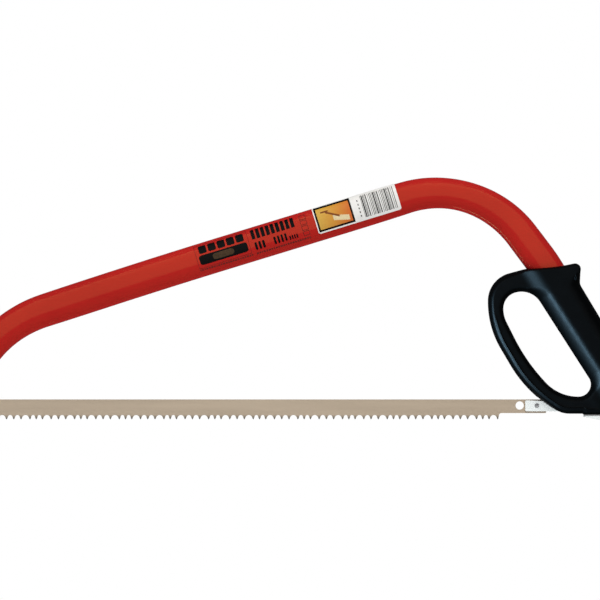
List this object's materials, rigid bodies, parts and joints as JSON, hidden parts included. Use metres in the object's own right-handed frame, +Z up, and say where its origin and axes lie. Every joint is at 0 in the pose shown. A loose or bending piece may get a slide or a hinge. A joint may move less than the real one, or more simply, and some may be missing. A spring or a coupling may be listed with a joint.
{
  "type": "bow saw",
  "caption": "Bow saw with a bent tube frame, a moulded handle with knuckle guard, and an over-centre lever that tensions a 530 mm blade.",
  "frame": {"origin": "middle of the grip, on the blade's plane, where the hand holds the saw", "axes": "+X along the blade towards the heel of the handle, +Z up away from the teeth, -Y is the near side"},
  "size_m": [0.647, 0.029, 0.2235],
  "materials": {
    "frame_tube": "glossy orange-red powder coat",
    "handle": "satin black moulding",
    "screws": "blackened steel",
    "label": "printed paper",
    "pins": "zinc-plated steel",
    "lever": "zinc-plated sheet steel",
    "link": "bright zinc-plated sheet steel",
    "peg": "zinc-plated, peened",
    "blade": "lacquered blade steel",
    "clip": "phosphated spring steel"
  },
  "bodies": {
    "frame": {"frame_tube": "frame_tube", "handle_near_shell": "handle", "handle_far_shell": "handle", "guard_screws": "screws", "grip_screws": "screws", "size_label": "label", "lever_pivot_near": "pins", "lever_pivot_far": "pins"},
    "lever": {"tension_lever": "lever", "link_pin": "pins", "link_spacer_near": "pins", "link_spacer_far": "pins"},
    "link": {"blade_link": "link", "blade_peg": "peg"},
    "blade": {"saw_blade": "blade", "front_blade_pin": "pins", "front_pin_clip": "clip"}
  },
  "joints": [
    {"name": "lever_swing", "type": "hinge", "parent": "frame", "child": "lever", "pos_m": [0.0357, 0, -0.0616], "axis": [0, -1, 0], "range_deg": [0, 90]},
    {"name": "link_swing", "type": "hinge", "parent": "lever", "child": "link", "pos_m": [0.04161, 0, -0.06264], "axis": [0, -1, 0], "range_deg": [-88, 0]},
    {"name": "blade_swing", "type": "hinge", "parent": "link", "child": "blade", "pos_m": [-0.052, 0, -0.0595], "axis": [0, -1, 0], "range_deg": [-6, 0]}
  ],
  "couplings": [
    {"joint": "link_swing", "follows": "lever_swing", "ratio": -0.9515},
    {"joint": "blade_swing", "follows": "lever_swing", "ratio": -0.0485}
  ]
}
